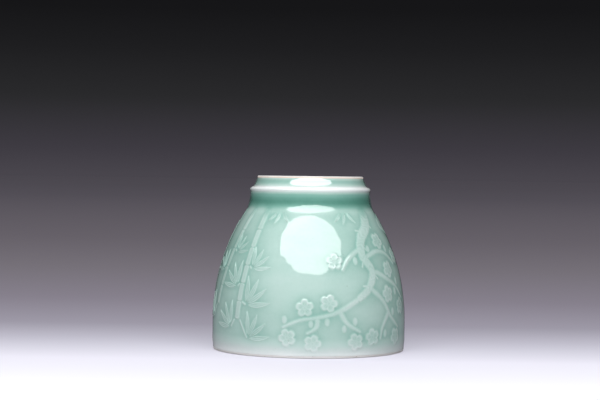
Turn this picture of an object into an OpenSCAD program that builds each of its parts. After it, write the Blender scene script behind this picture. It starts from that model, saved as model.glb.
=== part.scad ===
// Celadon brush pot of cup form, stood mouth down on its rim with the stepped foot uppermost.
// Sizes are in millimetres. Heights run up from the rim, and the pot's axis is the Z axis.

/* [Bowl] */
// Width of the mouth, over the glaze
mouth_d = 80; // [72:1:92]
// Height from the rim to the foot face
height = 72; // [66:1:84]
// Height of the straight wall next to the rim
lip_h = 12; // [7:1:18]
// Width of the neck at the belly, over the glaze
neck_d = 51; // [47:1:56]
// Thickness of the clay wall
wall_t = 2; // [1.6:0.1:3]
// Thickness of the clay floor
floor_t = 4; // [3:0.5:6]
// Radius between the inside wall and the floor
floor_round = 14; // [8:1:20]

/* [Foot] */
// Height of the neck and foot together
foot_h = 12.8; // [11.4:0.2:15]
// Height of the foot ring above its seat on the bowl
ring_h = 6.8; // [6.2:0.1:8]
// Thickness of the foot ring at its face
ring_w = 3; // [2.4:0.1:4]
// Depth of the recess inside the foot ring
recess_h = 5; // [3:0.5:6]
// Height of the ridge's widest line above the ring's seat
ridge_h = 1.15; // [0.9:0.05:1.5]
// How far the ridge stands out from the neck's clay
ridge_out = 0.3; // [0.2:0.05:0.6]
// Radius of the rounded ridge
ridge_round = 0.9; // [0.7:0.05:1.1]
// How far the foot wall steps in behind the ridge
foot_step = 2.2; // [2.2:0.1:3]
// Radius of the cove between the ridge and the foot wall
cove_round = 1.2; // [0.8:0.1:1.2]
// How far the foot wall leans in towards the face
foot_taper = 0.7; // [0:0.1:1]
// Rounding of the foot ring's bare edges
edge_round = 0.5; // [0.3:0.05:0.7]
// Room for slip between the bowl's boss and the foot ring
lute_gap = 0.1; // [0.05:0.05:0.2]

/* [Glaze] */
// Thickness of the coat on the outside wall
glaze_t = 0.4; // [0.3:0.05:0.6]
// Thickness of the coats where they run out at the rim
lip_glaze_t = 0.12; // [0.08:0.02:0.2]
// Height over which the coats thin towards the rim
lip_fade = 4; // [2:0.5:5]
// Depth of the glaze pooled in the neck
pool_t = 0.95; // [0.7:0.05:1.3]
// Radius of the pooled glaze between the belly and the neck
pool_round = 7.5; // [4:0.5:9]
// Thickness of the coat on the foot ring
foot_glaze_t = 0.2; // [0.15:0.05:0.3]
// Height of the bare clay next to the foot face
bare_h = 0.8; // [0.7:0.1:1.5]
// Thickness of the coat inside the bowl
inner_glaze_t = 0.3; // [0.2:0.05:0.5]
// Thickness of the coat in the foot's recess
base_glaze_t = 0.35; // [0.2:0.05:0.5]
// Radius of the recess coat between its floor and its wall
base_round = 1.5; // [1:0.1:2]

/* [Relief] */
// Height of the relief off the wall
relief_h = 0.5; // [0.3:0.05:0.8]
// Gap that the slip under the relief fills
seat_gap = 0.05; // [0.05:0.01:0.1]
// Width of a plum trunk at its root
trunk_w = 4.2; // [3:0.1:5]
// Width of a plum branch at its root
branch_w = 1.7; // [1.2:0.1:2.2]
// Width of a plum blossom
blossom_d = 6.8; // [5:0.1:7.5]
// Length of a plum bud
bud_l = 2.8; // [2:0.1:3.2]
// Width of a plum bud
bud_w = 1.7; // [1.2:0.1:2]
// Room between a flower and its branch
flower_gap = 0.2; // [0.15:0.05:0.4]
// Width of a bamboo stem
stem_w = 2.2; // [1.6:0.1:2.6]
// Gap at each bamboo joint
joint_gap = 0.5; // [0.3:0.1:0.8]
// Length of a bamboo leaf
leaf_l = 10; // [7:0.5:11]
// Width of a bamboo leaf
leaf_w = 1.9; // [1.5:0.1:2.1]
// Half of the width that a leaf or a blade keeps at its ends
leaf_point = 0.1; // [0.06:0.02:0.14]
// Room between the leaves where a fan starts
fan_gap = 1.6; // [1.4:0.1:2]
// Width of a bamboo twig
twig_w = 0.6; // [0.5:0.1:0.8]
// Step that the twigs' reach and fall are counted in
twig_step = 1; // [0.8:0.1:1.1]
// Width of a rock
rock_w = 12; // [9:0.5:13]
// Height of a rock
rock_l = 8; // [6:0.5:9]
// Length of a grass blade
blade_l = 9; // [6:0.5:10]
// Width of a grass blade
blade_w = 1.1; // [0.8:0.1:1.3]
// Room between the blades of a tuft at their roots
blade_pitch = 1.6; // [1.5:0.1:2]

/* [Hidden] */

$fn = 96;
// Chords in a long arc, and in a small one
long_steps = 32;
short_steps = 10;
degrees = 180 / PI;

clay_colour = [0.94, 0.91, 0.86];
glaze_colour = [0.62, 0.77, 0.73];
pool_colour = [0.40, 0.62, 0.56];
relief_colour = [0.81, 0.90, 0.88];

// Levels up the pot
neck_z = height - foot_h;
seat_z = height - ring_h;
boss_z = height - recess_h;
floor_z = boss_z - floor_t;
rim_r = wall_t / 2;

// The belly is one arc, upright where it leaves the straight wall, that ends at the neck
mouth_r = mouth_d / 2;
neck_r = neck_d / 2;
belly_drop = mouth_r - neck_r;
belly_rise = neck_z - lip_h;
belly_r = (belly_rise * belly_rise + belly_drop * belly_drop) / (2 * belly_drop);
belly_x = mouth_r - belly_r;

// Clay under the coats: its arcs share the belly's centre
clay_r = mouth_r - glaze_t;
clay_belly_r = belly_r - glaze_t;
clay_neck_r = neck_r - pool_t;
clay_neck_turn = acos((clay_neck_r - belly_x) / clay_belly_r);
inside_r = clay_r - wall_t;
inside_belly_r = clay_belly_r - wall_t;

// The inside floor's fillet touches the inside belly arc from within
fillet_z = floor_z - floor_round;
fillet_reach = inside_belly_r - floor_round;
fillet_turn = asin((fillet_z - lip_h) / fillet_reach);
fillet_x = belly_x + fillet_reach * cos(fillet_turn);

// The pooled glaze's fillet touches the belly arc from outside
pool_reach = belly_r + pool_round;
pool_turn = acos((neck_r + pool_round - belly_x) / pool_reach);
pool_z = lip_h + pool_reach * sin(pool_turn);

// Foot ring
ridge_r = clay_neck_r + ridge_out;
ridge_x = ridge_r - ridge_round;
ridge_z = seat_z + ridge_h;
ledge_z = ridge_z + ridge_round;
foot_base_r = ridge_r - foot_step;
foot_top_r = foot_base_r - foot_taper;
bore_r = foot_top_r - ring_w;
boss_r = bore_r - lute_gap;
cove_x = foot_base_r + cove_round;
cove_z = ledge_z + cove_round;
bare_z = height - bare_h;
edge_z = height - edge_round;
bare_share = (bare_z - cove_z) / (edge_z - cove_z);
foot_bare_r = foot_base_r - foot_taper * bare_share;

// Points of an arc about [x, z]
function arc(x, z, r, from, to, steps) =
    [for (i = [0 : steps]) let (a = from + (to - from) * i / steps) [x + r * cos(a), z + r * sin(a)]];

function reversed(list) = [for (i = [len(list) - 1 : -1 : 0]) list[i]];

// Outlines that a clay piece and its coat share, each run from low to high
function bowl_outside() = concat(
    [[clay_r, rim_r]],
    arc(belly_x, lip_h, clay_belly_r, 0, clay_neck_turn, long_steps),
    [[clay_neck_r, seat_z]]);

function bowl_inside(t) = concat(
    arc(belly_x, lip_h, inside_belly_r - t, 0, fillet_turn, long_steps),
    arc(fillet_x, fillet_z, floor_round - t, fillet_turn, 90, short_steps),
    [[0, floor_z - t]]);

function ring_outside(t, top_r) = concat(
    [[clay_neck_r + t, seat_z]],
    arc(ridge_x, ridge_z, ridge_round + t, -acos((clay_neck_r + t - ridge_x) / (ridge_round + t)), 90,
        short_steps),
    arc(cove_x, cove_z, cove_round - t, 270, 180, short_steps),
    [[top_r + t, bare_z]]);

module turned(outline) {
    rotate_extrude() polygon(outline);
}

// Thrown clay cup: rounded rim, belly, floor, and the shoulder and boss that take the foot ring
module bowl() {
    color(clay_colour)
    turned(concat(
        bowl_outside(),
        [[boss_r, seat_z], [boss_r, boss_z], [0, boss_z]],
        reversed(bowl_inside(0)),
        arc(inside_r + rim_r, rim_r, rim_r, 180, 360, short_steps)));
}

// Turned foot ring, luted on the bowl's shoulder, with the ridge round it and a bare face
module foot_ring() {
    color(clay_colour)
    turned(concat(
        ring_outside(0, foot_bare_r),
        arc(foot_top_r - edge_round, edge_z, edge_round, 0, 90, short_steps),
        arc(bore_r + edge_round, edge_z, edge_round, 90, 180, short_steps),
        [[bore_r, seat_z]]));
}

// Coat on the outside of the bowl, thin at the rim and pooled in the neck
module outer_glaze() {
    color(glaze_colour)
    turned(concat(
        [[clay_r + lip_glaze_t, rim_r], [mouth_r, rim_r + lip_fade]],
        arc(belly_x, lip_h, belly_r, 0, pool_turn, long_steps),
        arc(neck_r + pool_round, pool_z, pool_round, 180 + pool_turn, 180, short_steps),
        [[clay_neck_r + foot_glaze_t, seat_z]],
        reversed(bowl_outside())));
}

// Coat on the outside of the foot ring, from its seat to the bare edge
module foot_glaze() {
    color(pool_colour)
    turned(concat(
        ring_outside(foot_glaze_t, foot_bare_r),
        reversed(ring_outside(0, foot_bare_r))));
}

// Coat on the inside of the bowl
module inner_glaze() {
    color(glaze_colour)
    turned(concat(
        [[inside_r, rim_r]],
        bowl_inside(0),
        reversed(bowl_inside(inner_glaze_t)),
        [[inside_r - inner_glaze_t, rim_r + lip_fade], [inside_r - lip_glaze_t, rim_r]]));
}

// Coat on the base inside the foot ring, turned up against the ring's bore
module base_glaze() {
    coat_r = bore_r - base_glaze_t;
    coat_z = boss_z + base_glaze_t;
    color(glaze_colour)
    turned(concat(
        [[0, boss_z], [bore_r, boss_z], [bore_r, bare_z], [coat_r, bare_z]],
        arc(coat_r - base_round, coat_z + base_round, base_round, 0, -90, short_steps),
        [[0, coat_z]]));
}

// The relief is laid out on the wall. A place is [angle, height]: the angle in degrees round the pot
// from the middle of its front, and the height in millimetres. The picture's ground is at the neck.
function wall_turn(z) = z < lip_h ? 0 : asin((z - lip_h) / belly_r);
function wall_r(z) = belly_x + belly_r * cos(wall_turn(z));

// Point of the wall at a place, lifted off it
function on_wall(place, lift) = let (turn = wall_turn(place[1]), r = wall_r(place[1]) + lift * cos(turn))
    [r * sin(place[0]), -r * cos(place[0]), place[1] + lift * sin(turn)];

// Place reached from another by going [along, up] millimetres on the wall
function step(place, go) = [place[0] + go[0] / wall_r(place[1]) * degrees,
                            place[1] + go[1] * cos(wall_turn(place[1]))];

// Place in millimetres from one in degrees and in shares of the wall's height
function sited(p) = [p[0], p[1] * neck_z];

// Smooth line through hand-set points, with some steps between each two
function bend(a, b, c, d, u) =
    (2 * b + (c - a) * u + (2 * a - 5 * b + 4 * c - d) * u * u + (3 * b - a - 3 * c + d) * u * u * u) / 2;
function smooth(points, steps) = let (last = len(points) - 1, p = [for (q = points) sited(q)]) concat(
    [for (i = [0 : last - 1]) for (k = [0 : steps - 1])
        bend(p[max(i - 1, 0)], p[i], p[i + 1], p[min(i + 2, last)], k / steps)],
    [p[last]]);

// Unit direction across a line of places, in millimetres on the wall
function across(line, i) =
    let (a = line[max(i - 1, 0)], b = line[min(i + 1, len(line) - 1)],
         along = (b[0] - a[0]) / degrees * wall_r(line[i][1]),
         up = (b[1] - a[1]) / cos(wall_turn(line[i][1])))
    [-up, along] / norm([along, up]);

// Ribbon of slip along a line of places: flat underneath, with a top that is set in from both edges.
// Its section has four corners, each [share of the half width, share of the relief's height].
ribbon_section = [[-1, 0], [-0.5, 0.85], [0.5, 0.85], [1, 0]];
module ribbon(line, half_w) {
    n = len(ribbon_section);
    last = len(line) - 1;
    end = n * last;
    points = [for (i = [0 : last]) for (corner = ribbon_section)
        on_wall(step(line[i], across(line, i) * corner[0] * half_w[i]), seat_gap + corner[1] * relief_h)];
    sides = [for (i = [0 : last - 1]) for (k = [0 : n - 1])
        let (a = n * i + k, b = n * i + (k + 1) % n) each [[a, a + n, b + n], [a, b + n, b]]];
    ends = [[0, 1, 2], [0, 2, 3], [end, end + 2, end + 1], [end, end + 3, end + 2]];
    polyhedron(points, concat(sides, ends));
}

// Low mound of slip at a place. Its outline is a radius for each direction. The top has its full height
// at a share of that radius and another lift in the middle; the underside follows the wall.
crown_share = 0.6;
under_share = 0.5;
module mound(place, outline, middle_lift) {
    n = len(outline);
    function ring(share, lift) = [for (i = [0 : n - 1]) let (a = 360 * i / n)
        on_wall(step(place, share * outline[i] * [cos(a), sin(a)]), seat_gap + lift)];
    points = concat(
        ring(1, 0), ring(crown_share, relief_h), [on_wall(place, seat_gap + middle_lift)],
        ring(under_share, 0), [on_wall(place, seat_gap)]);
    top = 2 * n;
    under = top + 1;
    base = under + n;
    faces = [for (i = [0 : n - 1]) let (j = (i + 1) % n) each [
        [i, n + j, j], [i, n + i, n + j], [n + i, top, n + j],
        [i, j, under + j], [i, under + j, under + i], [under + i, under + j, base]]];
    polyhedron(points, faces);
}

// The picture's ground, as a share of the wall's height
ground_share = 0.965;

// Plum: two trunks, front and back, with branches set against them
trunks = [
    [[54, ground_share], [49, 0.88], [40, 0.80], [37, 0.69], [43, 0.58], [39, 0.47], [30, 0.39]],
    [[216, ground_share], [209, 0.88], [214, 0.79], [226, 0.70], [229, 0.59], [219, 0.48], [223, 0.39]]];
branches = [
    [[27, 0.37], [17, 0.31], [6, 0.275], [-5, 0.255], [-15, 0.205]],
    [[48, 0.565], [57, 0.52], [66, 0.47], [74, 0.385]],
    [[42, 0.445], [50, 0.37], [56, 0.27], [65, 0.19]],
    [[5, 0.25], [4, 0.205], [-1, 0.165]],
    [[33, 0.71], [26, 0.66], [21, 0.585]],
    [[19, 0.295], [23, 0.23], [31, 0.175]],
    [[42, 0.68], [52, 0.71], [62, 0.69], [71, 0.62]],
    [[53, 0.285], [48, 0.2], [46, 0.12]],
    [[225, 0.37], [234, 0.30], [247, 0.26], [259, 0.19]],
    [[215, 0.465], [204, 0.41], [192, 0.36], [182, 0.27]],
    [[233, 0.605], [243, 0.55], [253, 0.46]],
    [[219, 0.365], [213, 0.26], [203, 0.17]]];
trunk_steps = 3;
branch_steps = 3;
// Share of its root width that a trunk or a branch keeps at its tip
trunk_tip_share = 0.5;
branch_tip_share = 0.45;

function tapered(line, w, tip) =
    let (last = len(line) - 1) [for (i = [0 : last]) w / 2 * (1 - (1 - tip) * i / last)];

// Gnarled plum trunks
module trunk_relief() {
    color(relief_colour)
    for (points = trunks) {
        line = smooth(points, trunk_steps);
        ribbon(line, tapered(line, trunk_w, trunk_tip_share));
    }
}

// Plum branches
module branch_relief() {
    color(relief_colour)
    for (points = branches) {
        line = smooth(points, branch_steps);
        ribbon(line, tapered(line, branch_w, branch_tip_share));
    }
}

// Place beside a branch, some way along it, on its left (1) or right (-1), at a distance from its middle
function beside(branch, share, side, distance) =
    let (line = smooth(branches[branch], branch_steps), i = round(share * (len(line) - 1)))
    step(line[i], across(line, i) * side * distance);

// Each flower is [branch, share along it, side]
blossoms = [[0, 0.3, -1], [0, 0.67, -1], [0, 0.96, 1], [1, 0.3, 1], [1, 0.95, -1], [2, 0.36, 1],
            [2, 0.95, -1], [3, 0.95, 1], [4, 0.9, -1], [5, 0.95, -1], [6, 0.42, 1], [6, 0.95, 1],
            [7, 0.95, -1], [8, 0.3, -1], [8, 0.95, -1], [9, 0.4, -1], [9, 0.95, 1], [10, 0.9, -1],
            [11, 0.85, 1]];
buds = [[0, 0.4, 1], [0, 0.9, -1], [1, 0.62, 1], [1, 0.66, -1], [2, 0.7, 1], [3, 0.5, -1], [4, 0.4, 1],
        [5, 0.5, -1], [5, 0.6, 1], [6, 0.15, 1], [6, 0.72, 1], [7, 0.6, 1], [8, 0.6, 1], [8, 0.62, -1],
        [9, 0.7, -1], [9, 0.66, 1], [10, 0.45, 1], [11, 0.4, -1]];
petal_count = 5;
petal_steps = 4;
// How far the outline is drawn in between two petals, how suddenly, and how deep the eye is
notch_share = 0.26;
notch_power = 5;
eye_share = 0.4;

// Plum blossoms with five petals
module blossom_relief() {
    n = petal_count * petal_steps;
    outline = [for (i = [0 : n - 1])
        blossom_d / 2 * (1 - notch_share * abs(sin(180 * (i / petal_steps))) ^ notch_power)];
    color(relief_colour)
    for (b = blossoms)
        mound(beside(b[0], b[1], b[2], blossom_d / 2 + branch_w / 2 + flower_gap), outline,
              relief_h * (1 - eye_share));
}

// Plum buds
bud_steps = 12;
module bud_relief() {
    outline = [for (i = [0 : bud_steps - 1]) let (a = 360 * i / bud_steps)
        1 / norm([cos(a) / (bud_w / 2), sin(a) / (bud_l / 2)])];
    color(relief_colour)
    for (b = buds) mound(beside(b[0], b[1], b[2], bud_l / 2 + branch_w / 2 + flower_gap), outline, relief_h);
}

// Bamboo: each stem is [root, tip, joints, share of the full width]
stems = [
    [[-40, ground_share], [-46, 0.24], 6, 1],
    [[-58, ground_share], [-69, 0.33], 5, 0.85],
    [[-81, ground_share], [-88, 0.45], 5, 0.75],
    [[118, ground_share], [114, 0.27], 6, 1],
    [[139, ground_share], [145, 0.42], 5, 0.8]];
// Bamboo leaves hang in fans, each [stem, joint, side, share of the full size, [reach, fall]], where the
// last two are the twig's own, in twig steps
fans = [[0, 3, 1, 0.75, [1, 1]], [0, 4, -1, 0.9, [1, 1]], [0, 5, 1, 1, [2, 1]], [0, 6, 1, 0.9, [4, 7]],
        [0, 6, -1, 0.9, [2, 3]], [1, 2, 1, 0.6, [1, 1]], [1, 3, -1, 0.7, [1, 1]], [1, 5, -1, 0.9, [3, 5]],
        [2, 2, -1, 0.9, [1, 1]], [2, 4, -1, 0.8, [1, 1]], [2, 5, -1, 0.8, [2, 6]], [3, 2, -1, 1, [1, 1]],
        [3, 3, 1, 0.9, [1, 1]], [3, 4, -1, 0.9, [4, 2]], [3, 5, 1, 1, [4, 2]], [3, 6, -1, 1, [2, 3]],
        [3, 6, 1, 0.8, [3, 7]], [4, 2, 1, 0.9, [1, 1]], [4, 4, 1, 1, [1, 1]], [4, 5, 1, 1, [2, 7]]];
// Directions of the leaves in a fan, in degrees from straight towards the foot
leaf_angles = [6, 34, 62, 92];
leaf_steps = 4;
// How far a leaf bends over its length, and the share of its length at which it is widest
leaf_bend_angle = 16;
widest_share = 0.42;
leaf_power = ln(0.5) / ln(widest_share);
stem_steps = 2;

function stem_line(s, from, to, steps) = let (a = sited(s[0]), b = sited(s[1]))
    [for (i = [0 : steps]) a + (b - a) * (from + (to - from) * i / steps)];

// Where a fan's twig leaves its stem, and where its leaves start
function twig_start(f) = let (s = stems[f[0]], joint = stem_line(s, f[1] / s[2], 1, 1)[0])
    step(joint, [f[2] * (stem_w / 2 * s[3] + joint_gap), 0]);
function twig_end(f) = step(twig_start(f), twig_step * [f[2] * f[4][0], -f[4][1]]);

// Bamboo stems, a length between each two joints, and the twigs that carry the leaves
module bamboo_stem_relief() {
    color(relief_colour) {
        for (s = stems) {
            long = (s[0][1] - s[1][1]) * neck_z;
            gap = joint_gap / long;
            for (j = [0 : s[2] - 1]) {
                line = stem_line(s, j / s[2], (j + 1) / s[2] - gap, stem_steps);
                ribbon(line, [for (p = line) stem_w / 2 * s[3]]);
            }
        }
        for (f = fans) ribbon([twig_start(f), twig_end(f)], [twig_w / 2, twig_w / 2]);
    }
}

// Places along a leaf or a blade that leaves a place in one direction and bends
function bending(place, turn, turn_more, length, steps, i = 0) = i == steps ? [place] :
    let (a = turn + turn_more * (i + 0.5) / steps,
         next = step(place, length / steps * [sin(a), cos(a)]))
    concat([place], bending(next, turn, turn_more, length, steps, i + 1));

// Half widths of a leaf or a blade along its length
function leaf_half(w, steps) =
    [for (i = [0 : steps]) max(leaf_point, w / 2 * sin(180 * pow(i / steps, leaf_power)))];

// Bamboo leaves
module bamboo_leaf_relief() {
    color(relief_colour)
    for (f = fans) {
        for (turn = leaf_angles) {
            start = step(twig_end(f), fan_gap * [f[2] * sin(turn), cos(turn)]);
            line = bending(start, f[2] * turn, -f[2] * leaf_bend_angle, leaf_l * f[3], leaf_steps);
            ribbon(line, leaf_half(leaf_w * f[3], leaf_steps));
        }
    }
}

// Rocks on the ground, each [angle, share of the full size]
rocks = [[84, 1], [170, 0.85], [189, 0.55], [-95, 0.55], [-114, 1]];
rock_steps = 15;
knob_count = 4;
rough_share = 0.12;

// Garden rocks, lumpy mounds that sit at the neck
module rock_relief() {
    color(relief_colour)
    for (rock = rocks) {
        outline = [for (i = [0 : rock_steps - 1]) let (a = 360 * i / rock_steps)
            rock[1] * (1 + rough_share * sin(knob_count * a + rock[0]))
            / norm([cos(a) / (rock_w / 2), sin(a) / (rock_l / 2)])];
        z = sited([0, ground_share])[1] - rock[1] * rock_l * (1 + rough_share) / 2;
        mound([rock[0], z], outline, relief_h);
    }
}

// Grass on the ground, each tuft [angle, share of the full length]
tufts = [[-26, 0.6], [30, 0.6], [106.5, 0.5], [128.5, 0.45], [150, 0.5]];
// Directions of a tuft's blades, in degrees from straight towards the rim, and how far each bends
blade_angles = [-26, -5, 20];
blade_bend_angle = 22;
blade_steps = 4;

// Grass blades
module grass_relief() {
    color(relief_colour)
    for (tuft = tufts) for (i = [0 : len(blade_angles) - 1]) {
        turn = blade_angles[i];
        root = step(sited([tuft[0], ground_share]), [blade_pitch * (i - (len(blade_angles) - 1) / 2), 0]);
        length = blade_l * tuft[1] * cos(turn);
        line = bending(root, 180 - turn, -blade_bend_angle * sign(turn), length, blade_steps);
        ribbon(line, leaf_half(blade_w, blade_steps));
    }
}

bowl();
foot_ring();
outer_glaze();
foot_glaze();
inner_glaze();
base_glaze();
trunk_relief();
branch_relief();
blossom_relief();
bud_relief();
bamboo_stem_relief();
bamboo_leaf_relief();
rock_relief();
grass_relief();
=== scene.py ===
# %% [markdown]
# # A celadon pot that stands on its mouth
# The real object is a small porcelain pot under a pale blue-green glaze, turned over so that its foot is
# on top. A picture in low relief, bamboo and plum, lies under the glaze of the belly. The CAD model
# already has every piece at its true size, and it could simply be given materials. But its facets show,
# its relief has no soft edges, and nothing in it tells how deep the glaze is. So this lesson replaces each
# piece with a finer surface. It starts by loading the CAD model as a fixed frame.

# %% Load the frame
import math

import bpy
import numpy as np
from mathutils import Matrix, Vector


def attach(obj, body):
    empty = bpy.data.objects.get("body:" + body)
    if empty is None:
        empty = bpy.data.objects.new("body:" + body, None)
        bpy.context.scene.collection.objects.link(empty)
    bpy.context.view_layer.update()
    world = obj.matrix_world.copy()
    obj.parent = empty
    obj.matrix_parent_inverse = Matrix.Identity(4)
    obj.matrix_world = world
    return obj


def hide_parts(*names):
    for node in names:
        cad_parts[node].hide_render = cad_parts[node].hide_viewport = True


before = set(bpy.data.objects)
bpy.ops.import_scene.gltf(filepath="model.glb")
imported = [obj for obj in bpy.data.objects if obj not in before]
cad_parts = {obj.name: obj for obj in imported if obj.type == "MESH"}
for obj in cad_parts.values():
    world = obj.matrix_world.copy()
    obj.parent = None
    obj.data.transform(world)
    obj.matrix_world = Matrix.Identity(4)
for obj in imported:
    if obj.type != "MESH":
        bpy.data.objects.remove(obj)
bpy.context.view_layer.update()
print("CAD nodes:", sorted(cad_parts))

# %% [markdown]
# ## Sizes
# A pot is measured from its axis and from the surface that it stands on, so two numbers place any point of
# its outline. Sizes could be read off the CAD meshes, but those hold only points, and an outline needs
# radii and thicknesses. So the values repeat those of the CAD model, in millimetres, because a potter
# thinks in them. Everything is turned into Blender's metres only when a mesh is written.

# %% Sizes of the pot, in millimetres
MM = 0.001
mouth_r = 40.0
neck_r = 25.5
height = 72.0
lip_h = 12.0
neck_z = 59.2
seat_z = 65.2
boss_z = 67.0
floor_z = 63.0
wall_t = 2.0
glaze_t = 0.4
lip_glaze_t = 0.12
neck_glaze_t = 0.95
lip_fade = 4.0
rim_r = wall_t / 2
clay_r = mouth_r - glaze_t
clay_neck_r = neck_r - neck_glaze_t
belly_drop = mouth_r - neck_r
belly_rise = neck_z - lip_h
belly_r = (belly_rise**2 + belly_drop**2) / (2 * belly_drop)
belly_x = mouth_r - belly_r
print("the belly's arc has a radius of", round(belly_r, 2), "mm")

# %% [markdown]
# ## From numbers to triangles
# Every piece below is a grid of points: rows run along an outline, and columns run round it and meet
# again. Faces could be made one by one, but those of a grid follow from its rows and columns, so one
# helper makes them all at once as arrays. Where a row shrinks to a point, at a pole or along a middle
# line, the points that lie on each other are merged and the triangles that lost a corner are dropped, so
# seams are closed. A closed shape has a positive volume only if its faces point outwards, so the sign of
# the volume sets their direction.

# %% Grid to triangles
MERGE_DECIMALS = 5


def woven(points, value, ring=False):
    """Triangles over a grid of points (rows, columns, 3), closed along its columns, and along its rows if it
    is a ring. Each cell is cut in two. Returns the points, one value for each, and the triangles."""
    rows, columns = points.shape[:2]
    index = np.arange(rows * columns).reshape(rows, columns)
    if ring:
        index = np.vstack([index, index[:1]])
    low, high = index[:-1], index[1:]
    low_next, high_next = np.roll(low, -1, axis=1), np.roll(high, -1, axis=1)
    cells = np.stack([low, low_next, high_next, low, high_next, high], axis=-1)
    near = np.round(points.reshape(-1, 3), MERGE_DECIMALS)
    corners, first, merged = np.unique(near, axis=0, return_index=True, return_inverse=True)
    triangles = merged.reshape(-1)[cells.reshape(-1, 3)]
    a, b, c = triangles.T
    triangles = triangles[(a != b) & (b != c) & (c != a)]
    p, q, r = corners[triangles].transpose(1, 0, 2)
    if np.einsum("ij,ij->", p, np.cross(q, r)) < 0:
        triangles = triangles[:, ::-1]
    return corners, value.reshape(-1)[first], triangles


square = [[1, 0, 0], [0, 1, 0], [-1, 0, 0], [0, -1, 0]]
spindle = np.array([[[0, 0, -1]] * 4, square, [[0, 0, 1]] * 4], float)
print("a square between two poles is woven into", len(woven(spindle, np.zeros((3, 4)))[2]), "triangles")

# %% [markdown]
# ## One object for each CAD node
# A piece of the pot is one Blender object that holds one woven shape or many, such as all the leaves. Each
# leaf could be an object of its own, but the CAD model keeps the leaves together in one node, and the
# object stands in for that node. The depth of the glaze at each point goes along as an attribute, a number
# that a material can read. Smooth shading hides the triangles, and edges sharper than the crease stay
# sharp.

# %% Piece from shapes
CREASE = math.radians(40)


def add_object(name, data):
    """A new object for a mesh or a camera, at the scene's origin."""
    thing = bpy.data.objects.new(name, data)
    bpy.context.scene.collection.objects.link(thing)
    return thing


def add_piece(name, shapes, node, material):
    """One object made of woven shapes. It stands for a CAD node and rides on the part's only body."""
    starts = np.cumsum([0] + [len(shape[0]) for shape in shapes])
    points = np.concatenate([shape[0] for shape in shapes]) * MM
    glaze = np.concatenate([shape[1] for shape in shapes])
    triangles = np.concatenate([shape[2] + start for shape, start in zip(shapes, starts)])
    mesh = bpy.data.meshes.new(name)
    mesh.from_pydata(points, [], triangles.tolist())
    mesh.attributes.new("glaze", "FLOAT", "POINT").data.foreach_set("value", glaze.astype(np.float32))
    mesh.shade_smooth()
    mesh.set_sharp_from_angle(angle=CREASE)
    mesh.materials.append(material)
    piece = add_object(name, mesh)
    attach(piece, "root")
    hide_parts(node)
    print(name, "has", len(triangles), "triangles, from", round(points[:, 2].min() / MM, 2), "mm up")


print("edges sharper than", round(math.degrees(CREASE)), "degrees stay sharp")

# %% [markdown]
# ## Shader nodes in a line each
# A glaze or a clay is a small network of nodes. It could be wired by hand in Blender's node editor, but a
# script makes it the same way on each run. Two helpers let one line make a node and join it to what feeds
# it: a setting that is another node's output becomes a link, and a plain number or colour goes straight
# into the socket. Colours are noted as a screen shows them, and shaders count in linear light, so a third
# helper converts them. A last one starts a new material.

# %% Node helpers
def linear(red, green, blue):
    """A colour as a screen shows it, from 0 to 255, turned into the linear values that shaders use."""
    screen = np.array([red, green, blue]) / 255.0
    return tuple(np.where(screen <= 0.04045, screen / 12.92, ((screen + 0.055) / 1.055) ** 2.4)) + (1.0,)


def fill(tree, socket, value):
    """Joins an output to an input socket, or sets the socket to a plain value."""
    if isinstance(value, bpy.types.NodeSocket):
        tree.links.new(value, socket)
    else:
        socket.default_value = value


def add_node(tree, kind, **settings):
    """A new node. A setting named like one of its properties sets that. Any other fills the input of that
    name, with a space for each underscore."""
    node = tree.nodes.new(kind)
    for key, value in settings.items():
        if hasattr(node, key):
            setattr(node, key, value)
        else:
            fill(tree, node.inputs[key.replace("_", " ")], value)
    return node


def new_material(name):
    """A new material, its network and the shader in it."""
    material = bpy.data.materials.new(name)
    material.use_nodes = True
    return material, material.node_tree, material.node_tree.nodes["Principled BSDF"]


print("a screen's middle grey, 128 of 255, is", round(linear(128, 128, 128)[0], 3), "in linear light")

# %% [markdown]
# ## The colours of celadon
# Celadon is a clear, faintly green glass over white clay. Its colour is its depth: it is white where it
# thins over an edge and deep green where it pools in a hollow. A volume inside a real coat of glass could
# show that, but it is slow, and an exported model loses it. So each point carries one number, the depth of
# the glaze, and a colour ramp turns the number into a colour.

# %% Glaze colours
def add_ramp(tree, fac, stops):
    """The colour of a ramp with the given (place, colour) stops."""
    ramp = add_node(tree, "ShaderNodeValToRGB", Fac=fac)
    elements = ramp.color_ramp.elements
    while len(elements) < len(stops):
        elements.new(0.5)
    for element, (place, colour) in zip(elements, stops):
        element.position = place
        element.color = colour
    return ramp.outputs["Color"]


# A depth of 0 is bare, a half is the body's coat, and 1 is a deep pool
glaze_stops = [(0.0, linear(248, 252, 252)), (0.22, linear(220, 233, 231)), (0.5, linear(184, 214, 206)),
               (0.75, linear(132, 183, 170)), (1.0, linear(89, 145, 131))]
print("the glaze has", len(glaze_stops), "colours between bare and pooled")

# %% [markdown]
# ## Clouds and specks
# No glaze is quite even. The fire leaves soft clouds in it, drawn out level as the wheel turned, and a few
# dark specks. An image could hold them, but it has edges and a scale of its own. Noise has neither, so the
# clouds are a noise that shifts the depth, and the specks are the peaks of a finer one.

# %% Noise and tints
cloud_share = 0.24
cloud_draw = 2.2
gloss_swing = 0.3
speck_stops = [(0.76, (0.0, 0.0, 0.0, 1.0)), (0.82, (0.35, 0.35, 0.35, 1.0))]


def add_math(tree, operation, *values):
    """The output of a math node whose inputs are the values, in order."""
    node = add_node(tree, "ShaderNodeMath", operation=operation)
    for socket, value in zip(node.inputs, values):
        fill(tree, socket, value)
    return node.outputs[0]


def add_noise(tree, place, scale, detail):
    """The grey of a noise at a place. The scale is its lumps to a metre, the detail its finer layers."""
    return add_node(tree, "ShaderNodeTexNoise", Vector=place, Scale=scale, Detail=detail).outputs["Fac"]


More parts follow.
